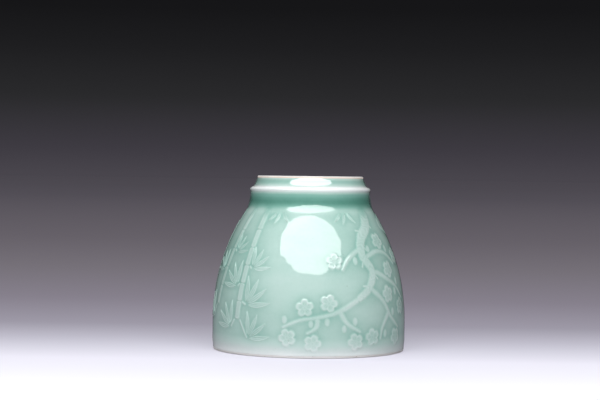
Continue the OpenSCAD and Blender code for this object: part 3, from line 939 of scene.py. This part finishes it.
# %% [markdown]
# ## Places beside a branch
# Blossoms and buds sit beside their branches. Their places could be noted one by one, but then a branch
# that moves would leave them behind. So a flower is noted as [branch, share of its length, side], and its
# place is worked out by the CAD model's own rule, which keeps it over its solid.

# %% Beside a branch
branch_steps = 3
flower_gap = 0.2


def beside(branch, share, side, size):
    """Place of a flower beside a branch: the CAD's own point of the branch, moved square to it by half of
    the flower's size, half of the branch's width and the gap."""
    count = branch_steps * (len(branches[branch]) - 1)
    t = round(share * count + TINY) / count
    line = smoothed(sited(branches[branch]), np.clip([t - 1 / count, t, t + 1 / count], 0, 1))
    away = across(line)[1] * side * ((size + branch_w) / 2 + flower_gap)
    return moved(line[1], away[0], away[1])


print("flowers keep", flower_gap, "mm off their branch")

# %% [markdown]
# ## Blossoms
# A plum blossom is a ring of five round petals. It could be five discs, but slip runs them together. So
# its edge is one circle drawn in between the petals, and its middle is a point. Petals have a raised rim,
# fine lines run between them, and short stamens stand round a sunken eye.

# %% Blossoms
# Each blossom is [branch, share of its length, side], and so is each bud
blossoms = [[0, 0.3, -1], [0, 0.67, -1], [0, 0.96, 1], [1, 0.3, 1], [1, 0.95, -1], [2, 0.36, 1],
            [2, 0.95, -1], [3, 0.95, 1], [4, 0.9, -1], [5, 0.95, -1], [6, 0.42, 1], [6, 0.95, 1],
            [7, 0.95, -1], [8, 0.3, -1], [8, 0.95, -1], [9, 0.4, -1], [9, 0.95, 1], [10, 0.9, -1],
            [11, 0.85, 1]]
blossom_d = 6.8
petals = 5
petal_notch = 0.26
blossom_turn = 0.9
rib_lift = 0.3
stamen_lift = 0.25


def blossom(place, turn):
    """Five petals: the radius is the full one less a share of it, times the fifth power of a sine that peaks
    between petals. Ribs follow the same sine, and stamens a faster one."""
    angle = full_turn(90)
    between = np.sin(petals / 2 * (angle + turn)) ** 2
    radius = blossom_d / 2 * (1 - petal_notch * between**2.5)
    edge = moved(place, radius * np.cos(angle), radius * np.sin(angle))
    step = steps[:, None]
    ribs = between**6 * (step > 0.3) * (step < 1.05)
    stamens = np.cos(3 * petals * (angle + turn)) * (step > 0.18) * (step < 0.5)
    lift = 1 + rib_lift * ribs + stamen_lift * stamens
    return raised(place, edge, blossom_section, skirt=0.75, lift=lift)


blossom_shapes = [blossom(beside(*each, blossom_d), blossom_turn * i) for i, each in enumerate(blossoms)]
slip.append(("raised_blossoms", "blossom_relief", blossom_shapes))
print(len(blossoms), "blossoms")

# %% [markdown]
# ## Buds
# A bud is one drop of slip, an upright oval with a soft crown. A flattened sphere could stand for it, but
# it wouldn't follow the wall, so it is a raised shape like the rest.

# %% Buds
buds = [[0, 0.4, 1], [0, 0.9, -1], [1, 0.62, 1], [1, 0.66, -1], [2, 0.7, 1], [3, 0.5, -1], [4, 0.4, 1],
        [5, 0.5, -1], [5, 0.6, 1], [6, 0.15, 1], [6, 0.72, 1], [7, 0.6, 1], [8, 0.6, 1], [8, 0.62, -1],
        [9, 0.7, -1], [9, 0.66, 1], [10, 0.45, 1], [11, 0.4, -1]]
bud_l = 2.8
bud_w = 1.7


def bud(place):
    """An upright oval: the cosine of the angle times half the width, and the sine times half the length."""
    angle = full_turn(36)
    edge = moved(place, bud_w / 2 * np.cos(angle), bud_l / 2 * np.sin(angle))
    return raised(place, edge, bud_section, skirt=0.6)


slip.append(("raised_buds", "bud_relief", [bud(beside(*each, bud_l)) for each in buds]))
print(len(buds), "buds")

# %% [markdown]
# ## Bamboo stems
# Each stem is a row of straight lengths with a gap at each joint, a little wider and higher at their ends.
# It could be one stroke with marks across it, but a painter lifts the brush at each joint, so each length
# is a stroke of its own. The first comes out of the pool at the neck.

# %% Bamboo stems
ground = 0.965
# Each stem is [root, tip, count of lengths, share of the full width]
stems = [
    [[-40, ground], [-46, 0.24], 6, 1],
    [[-58, ground], [-69, 0.33], 5, 0.85],
    [[-81, ground], [-88, 0.45], 5, 0.75],
    [[118, ground], [114, 0.27], 6, 1],
    [[139, ground], [145, 0.42], 5, 0.8]]
stem_w = 2.2
joint_gap = 0.5
pool_reach = 0.035
waist_share = 0.94
swell_share = 0.13
joint_lift = 0.3


def stem_places(stem, way):
    """Places on the straight line from a stem's root to its tip, in angle and height."""
    root, tip = np.array(stem[:2], float)
    return sited(root + (tip - root) * np.asarray(way)[:, None])


def stem_length(stem, joint):
    """A length of bamboo between two joints. Its width and height grow with the eighth power of the way from
    its middle. The first starts in the pool."""
    root, tip, lengths, width = stem
    gap = joint_gap / ((root[1] - tip[1]) * neck_z)
    start = joint / lengths if joint else -pool_reach
    share = shares(30)
    line = stem_places(stem, start + share * ((joint + 1) / lengths - gap - start))
    to_ends = (2 * share - 1) ** 8
    half = stem_w / 2 * width * (waist_share + swell_share * to_ends)
    return stroke(line, round_ended(line, half, reach=0.5), stem_section, skirt=0.75,
                  lift=1 + joint_lift * both_ways(to_ends))


stem_shapes = [stem_length(stem, joint) for stem in stems for joint in range(stem[2])]
print(len(stems), "stems in", len(stem_shapes), "lengths")

# %% [markdown]
# ## Bamboo twigs
# Twigs leave the stems at their joints, and each carries a fan of leaves at its end. Their ends could be
# noted as places, but they follow from the stem, the joint, the side and a step out and along, so a stem
# that moves takes its twigs and leaves with it.

# %% Bamboo twigs
# Each fan is [stem, joint, side, size, [millimetres out, millimetres along]]
fans = [[0, 3, 1, 0.75, [1, 1]], [0, 4, -1, 0.9, [1, 1]], [0, 5, 1, 1, [2, 1]], [0, 6, 1, 0.9, [4, 7]],
        [0, 6, -1, 0.9, [2, 3]], [1, 2, 1, 0.6, [1, 1]], [1, 3, -1, 0.7, [1, 1]], [1, 5, -1, 0.9, [3, 5]],
        [2, 2, -1, 0.9, [1, 1]], [2, 4, -1, 0.8, [1, 1]], [2, 5, -1, 0.8, [2, 6]], [3, 2, -1, 1, [1, 1]],
        [3, 3, 1, 0.9, [1, 1]], [3, 4, -1, 0.9, [4, 2]], [3, 5, 1, 1, [4, 2]], [3, 6, -1, 1, [2, 3]],
        [3, 6, 1, 0.8, [3, 7]], [4, 2, 1, 0.9, [1, 1]], [4, 4, 1, 1, [1, 1]], [4, 5, 1, 1, [2, 7]]]
twig_w = 0.6


def twig_ends(fan):
    """Where a fan's twig leaves its stem, and where its leaves start."""
    stem, joint, side, _, (out, along) = fan
    _, _, lengths, width = stems[stem]
    place = stem_places(stems[stem], [joint / lengths])[0]
    start = moved(place, side * (stem_w / 2 * width + joint_gap), 0.0)
    return start, moved(start, side * out, -along)


def twig(fan):
    """A thin stroke from the stem to the leaves."""
    start, end = twig_ends(fan)
    line = start + (end - start) * shares(twig_points)[:, None]
    return stroke(line, round_ended(line, np.full(len(line), twig_w / 2)), branch_section, twig_skirt)


slip.append(("raised_bamboo_stems", "bamboo_stem_relief", stem_shapes + [twig(fan) for fan in fans]))
print(len(fans), "twigs")

# %% [markdown]
# ## Bamboo leaves
# A leaf is a slim blade with a bend to it. One leaf could be modelled and copied, but copies of a flat
# leaf don't lie on a round wall. So each is a stroke along a line that turns evenly as it goes. Its half
# width follows a sine that peaks before the middle; its rim and its midrib are raised, and the blade
# between them is lower.

# %% Bamboo leaves
leaf_l = 10.0
leaf_w = 1.9
fan_gap = 1.6
leaf_turns = [6, 34, 62, 92]
leaf_bend = 16.0
widest_share = 0.42
leaf_power = math.log(0.5) / math.log(widest_share)


def bending(place, turn, more, length, share):
    """Places along a line that leaves a place in one direction, in degrees from straight up the wall, and
    turns evenly as it goes."""
    heading = np.radians(turn + more * (share[1:] + share[:-1]) / 2)
    step = np.diff(share) * length
    right = np.concatenate([[0.0], np.cumsum(step * np.sin(heading))])
    up = np.concatenate([[0.0], np.cumsum(step * np.cos(heading))])
    return moved(np.broadcast_to(place, (len(share), 2)), right, up)


def leaf(start, turn, more, length, width):
    """A leaf: its half width is the sine of a half turn times the way along, raised to a power below one."""
    share = shares(22)
    half = width / 2 * np.sin(np.pi * share**leaf_power)
    return stroke(bending(start, turn, more, length, share), half, leaf_section, skirt=0.65)


leaf_shapes = []
for fan in fans:
    _, _, side, size, _ = fan
    for turn in leaf_turns:
        heading = math.radians(turn)
        start = moved(twig_ends(fan)[1], fan_gap * side * math.sin(heading), fan_gap * math.cos(heading))
        leaf_shapes.append(leaf(start, side * turn, -side * leaf_bend, leaf_l * size, leaf_w * size))
slip.append(("raised_bamboo_leaves", "bamboo_leaf_relief", leaf_shapes))
print(len(leaf_shapes), "leaves")

# %% [markdown]
# ## Rocks
# Garden rocks sit on the picture's ground: lumpy ovals with a raised rim and worn folds. Noise could make
# them lumpy, but an edge has to meet itself. Sines with whole numbers of waves do, so a few of them make
# the knobs and the folds.

# %% Rocks
# Each rock is [angle, size]
rocks = [[84, 1], [170, 0.85], [189, 0.55], [-95, 0.55], [-114, 1]]
rock_w = 12.0
rock_l = 8.0
rock_rough = 0.12
rock_chip = 0.03


def rock(angle_at, size):
    """An oval whose radius swells at four knobs and is chipped at eleven places, sunk so that it stands on
    the ground. Its folds, three and seven to the round, fade out towards the middle."""
    z = ground * neck_z - size * rock_l * (1 + rock_rough) / 2
    place = np.array([angle_at, float(along_at(z))])
    angle = full_turn(96)
    knobs = rock_rough * np.sin(4 * angle + math.radians(angle_at))
    chips = rock_chip * np.sin(11 * angle + angle_at)
    oval = np.hypot(np.cos(angle) / (rock_w / 2), np.sin(angle) / (rock_l / 2))
    radius = size * (1 + (knobs + chips)) / oval
    edge = moved(place, radius * np.cos(angle), radius * np.sin(angle))
    folds = 0.2 * np.sin(3 * angle + angle_at) + 0.15 * np.sin(7 * angle)
    return raised(place, edge, rock_section, skirt=0.9, lift=1 + folds * ease(2 * steps)[:, None])


slip.append(("raised_rocks", "rock_relief", [rock(*each) for each in rocks]))
print(len(rocks), "rocks")

# %% [markdown]
# ## Grass
# Small tufts of grass grow between the stems. A particle system could grow them, but a painter sets three
# strokes to a tuft. A blade is a narrow leaf that leans out, so the leaf's own function draws it.

# %% Grass
# Each tuft is [angle, size]
tufts = [[-26, 0.6], [30, 0.6], [106.5, 0.5], [128.5, 0.45], [150, 0.5]]
blade_l = 9.0
blade_w = 1.1
blade_pitch = 1.6
blade_turns = [-26, -5, 20]
blade_bend = 22.0


def blade(tuft, i):
    """A blade of grass, a narrow leaf that leans out from its tuft. Blades that lean far are shorter."""
    angle, size = tuft
    turn = blade_turns[i]
    root = moved(sited([angle, ground]), blade_pitch * (i - 1), 0.0)
    length = blade_l * size * math.cos(math.radians(turn))
    return leaf(root, 180 - turn, -blade_bend * np.sign(turn), length, blade_w)


blades = [blade(tuft, i) for tuft in tufts for i in range(len(blade_turns))]
slip.append(("raised_grass", "grass_relief", blades))
print(len(blades), "blades of grass")

# %% [markdown]
# ## Glaze that finds its level
# Molten glaze runs off what is raised and gathers beside it. So its depth at a point grows with the mean
# height of the slip round about, and shrinks with the height of the slip right under it. This one rule
# makes the relief pale and its surroundings green, as on the real pot. A fluid simulation could find the
# level, but a mean is enough. It comes from a map of the wall: the heights of all shapes are dropped into
# the map's cells, and a blur averages them. A blur is a product of frequencies, so the map goes through a
# Fourier transform and back.

# %% Map of the slip
CELL = 0.35
map_rows = 256
map_columns = 720


def map_place(points):
    """Row and column of points on the map, as decimal numbers: length along the wall and angle, in cells."""
    angle = np.arctan2(points[:, 0], -points[:, 1]) / (2 * np.pi)
    return along_at(points[:, 2]) / CELL, angle % 1.0 * map_columns


def mean_height(shapes, spread):
    """Height of the slip, averaged round each cell: the highest point in a cell or next to it, blurred by a
    bell curve with a spread in millimetres."""
    heights = np.zeros((map_rows, map_columns))
    for points, proud, _ in shapes:
        row, column = (np.floor(number).astype(int) for number in map_place(points))
        np.maximum.at(heights, (row, column % map_columns), proud)
    for axis in (0, 1):
        beside_cell = np.maximum(np.roll(heights, 1, axis), np.roll(heights, -1, axis))
        heights = np.maximum(heights, beside_cell)
    rates = np.hypot(*np.meshgrid(np.fft.rfftfreq(map_columns), np.fft.fftfreq(map_rows))) / CELL
    bell = np.exp(-2 * (np.pi * spread * rates) ** 2)
    return np.fft.irfft2(np.fft.rfft2(heights) * bell, s=heights.shape)


all_slip = [shape for _, _, shapes in slip for shape in shapes]
slip_beside = mean_height(all_slip, spread=1.2) / relief_h
slip_around = mean_height(all_slip, spread=4.5) / relief_h
print("shares of the relief's height: beside it up to", round(float(slip_beside.max()), 2),
      "and around it up to", round(float(slip_around.max()), 2))

# %% [markdown]
# ## Glaze over slip
# The coat and every raised shape take their depth from the same rule, so no seam shows where a skirt meets
# the wall. Each could have its own material instead, but then their edges would show. The map is read on
# straight lines between the middles of its cells, because steps from cell to cell would show too.

# %% Depth over the relief
beside_share = 0.14
around_share = 0.16
shed_share = 0.3
covers_from = 54.5
covers_over = 3.5
lip_thins = 8.0


def looked_up(chart, points):
    """Values of the map at points on the wall, on straight lines between the middles of its cells."""
    row, column = map_place(points)
    i = np.clip(np.floor(row - 0.5).astype(int), 0, map_rows - 2)
    j = np.floor(column - 0.5).astype(int)
    up, right = row - 0.5 - i, column - 0.5 - j
    j, beyond = j % map_columns, (j + 1) % map_columns
    low = chart[i, j] * (1 - right) + chart[i, beyond] * right
    high = chart[i + 1, j] * (1 - right) + chart[i + 1, beyond] * right
    return low * (1 - up) + high * up


def glazed(shape):
    """A shape whose values are depths of glaze: the depth by height, plus what gathers there, less what the
    slip sheds. Both fade out towards the thin lip, and the slip also where the neck's pool covers it."""
    points, proud, triangles = shape
    z = points[:, 2]
    gathered = beside_share * looked_up(slip_beside, points) + around_share * looked_up(slip_around, points)
    bare = 1 - ease((z - covers_from) / covers_over)
    shed = shed_share * np.maximum(proud, 0.0) / relief_h * bare
    depth = depth_at(z) + (gathered - shed) * ease(z / lip_thins)
    return points, np.clip(depth, 0.0, 1.0), triangles


print("the pool at the neck covers the relief from", covers_from, "to", covers_from + covers_over, "mm up")

# %% [markdown]
# ## The outer coat
# The outer coat runs from a thin edge at the rim to the neck. There it bridges the corner between belly
# and neck with a soft pool, and it meets the foot's coat under the ridge. Like the other coats, it could
# be a Solidify skin on the clay if glaze were even. Its rows are close together, because they also carry
# the depths that the map gives.

# %% Outer coat
lip_rows = np.linspace(rim_r, lip_h, 24)
belly_rows = np.linspace(lip_h, lip_h + belly_r * pool_lean, 110)[1:]
neck_heights = np.linspace(pool_end_z, seat_z, 26)[1:]
pool_start = 180 + math.degrees(pool_lean)
pool_end = 180 + math.degrees(neck_tilt)
coat_outline = np.concatenate([
    np.stack(wall_at(np.concatenate([lip_rows, belly_rows]))[:2], axis=1),
    arc(pool_r + pool_round, pool_z, pool_round, pool_start, pool_end, count=24)[1:],
    np.stack([neck_outside(neck_heights), neck_heights], axis=1),
    bowl_outside[::-1]])
outer_coat = glazed(turned(coat_outline, np.zeros(len(coat_outline))))
add_piece("outer_coat", [outer_coat], "outer_glaze", wall_celadon)

# %% [markdown]
# ## The relief
# Now the gathered shapes become pieces, one for each CAD node of the relief. They could have been added as
# they were drawn, but their glaze depends on all their neighbours, so they had to wait for the map.

# %% Relief
for name, node, shapes in slip:
    add_piece(name, [glazed(shape) for shape in shapes], node, slip_celadon)
print("the relief is", len(all_slip), "shapes in", len(slip), "pieces")

# %% [markdown]
# ## Floor
# The pot stands on a photographer's graduated paper, white in front and ever darker towards the back. Such
# paper hangs in a curve, and a curved sheet could be modelled, but its bend would show as a band. One wide
# disc that reaches the horizon has no bend, and only its colour changes.

# %% Disc
def disc(name, radii, turns):
    """A flat disc at the rim's height: rings of given radii, with the angle as the second parameter."""
    angle = full_turn(turns)
    r = np.asarray(radii)[:, None]
    points = np.stack([r * np.cos(angle), r * np.sin(angle), 0 * r * angle], axis=-1).reshape(-1, 3)
    index = np.arange(len(points)).reshape(len(radii), turns)
    low, high = index[:-1], index[1:]
    cells = np.stack([low, high, np.roll(high, -1, axis=1), np.roll(low, -1, axis=1)], axis=-1)
    mesh = bpy.data.meshes.new(name)
    mesh.from_pydata(points, [], cells.reshape(-1, 4).tolist() + [index[0].tolist()])
    return add_object(name, mesh)


floor = disc("floor", radii=[0.05, 0.1, 0.2, 0.4, 0.8, 1.6, 4.0, 12.0, 40.0], turns=96)
print("floor reaches", round(max(floor.dimensions), 1), "m across")

# %% [markdown]
# ## Graduated paper
# The paper's grey follows the distance behind the pot, from a hand's breadth to the horizon, so the ramp
# counts that distance in powers of ten. Lamps could light the paper white, but they would light the pot
# too. So part of the paper's brightness is its own, for the camera alone, and the rest is lit and takes
# the pot's shadow.

# %% Paper
# The ramp starts this far in front of the pot's axis, in metres, and spans these powers of ten
front = 0.16
first_power = -2.0
last_power = 1.6
lit_share = 0.7


def paper_stop(distance, grey, green, blue):
    """A stop of the ramp at a distance behind the pot's axis: a grey, with green and blue as shares of it.
    Its place is the distance's power of ten, as a share of the span."""
    share = (math.log10(distance + front) - first_power) / (last_power - first_power)
    return share, (grey, grey * green, grey * blue, 1.0)


paper_stops = [
    paper_stop(-0.12, 0.57, 1.0, 1.03), paper_stop(-0.045, 0.515, 0.98, 1.1),
    paper_stop(0.0, 0.405, 0.98, 1.12), paper_stop(0.036, 0.33, 0.97, 1.13),
    paper_stop(0.11, 0.22, 0.94, 1.13), paper_stop(0.275, 0.167, 0.91, 1.1),
    paper_stop(0.6, 0.138, 0.91, 1.05), paper_stop(1.2, 0.11, 0.9, 1.05),
    paper_stop(5.0, 0.0715, 0.91, 1.1), paper_stop(10.0, 0.0635, 0.91, 1.1),
    paper_stop(20.0, 0.0605, 0.91, 1.1), paper_stop(39.0, 0.059, 0.91, 1.1)]


def paper_material(name):
    """Matt paper whose grey is the ramp's at the distance behind the pot. The camera also sees it glow."""
    material, tree, shader = new_material(name)
    place = add_node(tree, "ShaderNodeTexCoord").outputs["Object"]
    back = add_node(tree, "ShaderNodeSeparateXYZ", Vector=place).outputs["Y"]
    distance = add_math(tree, "MAXIMUM", add_math(tree, "ADD", back, front), 10**first_power)
    power = add_math(tree, "LOGARITHM", distance, 10.0)
    share = add_range(tree, power, (first_power, 0.0), (last_power, 1.0))
    fade = add_ramp(tree, share, paper_stops)
    lit = tinted(tree, 1.0, fade, (lit_share, lit_share, lit_share, 1.0))
    fill(tree, shader.inputs["Base Color"], lit)
    fill(tree, shader.inputs["Emission Color"], fade)
    for_camera = add_node(tree, "ShaderNodeLightPath").outputs["Is Camera Ray"]
    fill(tree, shader.inputs["Emission Strength"], for_camera)
    shader.inputs["Roughness"].default_value = 0.9
    shader.inputs["Specular IOR Level"].default_value = 0.0
    return material


floor.data.materials.append(paper_material("graduated_paper"))
print("the paper fades through", len(paper_stops), "greys")

# %% [markdown]
# ## World
# Where the paper ends, the world goes on with the same grey for the camera and for reflections. All other
# light from the world is a dim grey, brighter from the left, as from a white card standing there, and from
# behind, so that the back of the pot isn't left dark. Cards and lamps could do the same, but they would
# show in the glaze.

# %% World
dusk_stops = [
    (0.0, (0.066, 0.06, 0.073, 1)), (0.0154, (0.048, 0.0437, 0.0545, 1)),
    (0.0451, (0.0232, 0.0232, 0.0252, 1)), (0.0748, (0.013, 0.013, 0.0144, 1)),
    (0.0986, (0.008, 0.008, 0.009, 1)), (0.6, (0.008, 0.008, 0.009, 1))]
world = bpy.data.worlds.new("studio")
bpy.context.scene.world = world
world.use_nodes = True
sky = world.node_tree
direction = add_node(sky, "ShaderNodeTexCoord").outputs["Generated"]
parts = add_node(sky, "ShaderNodeSeparateXYZ", Vector=direction)
dusk = add_ramp(sky, parts.outputs["Z"], dusk_stops)
# The fill's strength by how far a direction points to the right, and by how far it points to the back
card = add_range(sky, parts.outputs["X"], (0.2, 0.015), (-1.0, 0.36))
behind = add_range(sky, parts.outputs["Y"], (0.7, 0.0), (1.0, 3.2))
fill_light = add_math(sky, "ADD", card, behind)
path = add_node(sky, "ShaderNodeLightPath")
seen = add_math(sky, "MAXIMUM", path.outputs["Is Camera Ray"], path.outputs["Is Glossy Ray"])
either = add_node(sky, "ShaderNodeMix", data_type="RGBA", Factor=seen, A=fill_light, B=dusk)
fill(sky, sky.nodes["Background"].inputs["Color"], either.outputs["Result"])
print("world:", world.name)

# %% [markdown]
# ## Light
# One wide softbox hangs in front of the pot and above the camera. Its reflection is the bright shape on
# the belly. A lamp could light the pot as well, but lamps are plain discs or rectangles. So this is a real
# panel with cut corners, more so at the bottom, that glows, a little more at its left end. Its light is
# strong enough that a white surface facing it renders white. It is part of the studio and not of the pot.

# %% Softbox
# The panel faces this height on the pot's axis, in metres
faced_z = 0.04


def softbox(name, distance, azimuth, elevation, roll, half, strengths):
    """A flat panel that faces the pot from a direction. Its right half's corners are given from the top
    down, in metres from its middle. The left half mirrors them, and then the panel rolls clockwise. Its
    light runs evenly from one strength at its left end to another at its right end."""
    turn = math.radians(roll)
    corners = np.concatenate([half, half[::-1] * [-1, 1]])
    corners = corners @ [[math.cos(turn), -math.sin(turn)], [math.sin(turn), math.cos(turn)]]
    a, e = math.radians(azimuth), math.radians(elevation)
    away = np.array([math.sin(a) * math.cos(e), -math.cos(a) * math.cos(e), math.sin(e)])
    right = np.array([math.cos(a), math.sin(a), 0.0])
    up = np.cross(away, right)
    middle = np.array([0.0, 0.0, faced_z]) + away * distance
    points = middle + corners[:, :1] * right + corners[:, 1:] * up
    mesh = bpy.data.meshes.new(name)
    mesh.from_pydata(points.tolist(), [], [list(range(len(points)))])
    material, tree, _ = new_material(name)
    tree.nodes.clear()
    place = add_node(tree, "ShaderNodeTexCoord").outputs["Object"]
    side = add_node(tree, "ShaderNodeSeparateXYZ", Vector=place).outputs["X"]
    reach = half[:, 0].max()
    power = add_range(tree, side, (-reach, strengths[0]), (reach, strengths[1]))
    glow = add_node(tree, "ShaderNodeEmission", Strength=power)
    add_node(tree, "ShaderNodeOutputMaterial", Surface=glow.outputs["Emission"])
    mesh.materials.append(material)
    panel = add_object(name, mesh)
    panel.visible_camera = False
    return panel


panel_half = np.array([[0.43, 0.262], [0.6, 0.18], [0.59, -0.03], [0.2, -0.27]])
key_panel = softbox("key_panel", distance=0.8, azimuth=1.5, elevation=43.0, roll=3.0, half=panel_half,
                    strengths=(6.2, 5.0))
print("softbox spans", [round(v, 2) for v in key_panel.dimensions], "m")

# %% [markdown]
# ## Camera
# A long lens looks almost level at the pot. The foot's face shows as a thin line, so the lens is at its
# height. The camera is turned a little about its own axis, because the real one was. A lens shift could
# put the pot right of the middle, but it would stay in every other view, so the camera aims at a point
# beside the pot instead.

# %% Camera
camera_data = bpy.data.cameras.new("camera")
camera = add_object("camera", camera_data)
bpy.context.scene.camera = camera
camera_data.sensor_width = 36.0
camera_data.lens = 101.2
camera_data.clip_start = 0.01
eye = Vector((0.0, -0.703, 0.072))
aim = Vector((-0.00422, 0.0, 0.0620))
camera_roll = math.radians(0.72)
view = (aim - eye).to_track_quat("-Z", "Y").to_matrix()
camera.matrix_world = Matrix.Translation(eye) @ (view @ Matrix.Rotation(camera_roll, 3, "Z")).to_4x4()
bpy.context.scene.view_settings.view_transform = "Standard"
print("camera is", round((eye - aim).length, 3), "m from what it looks at")
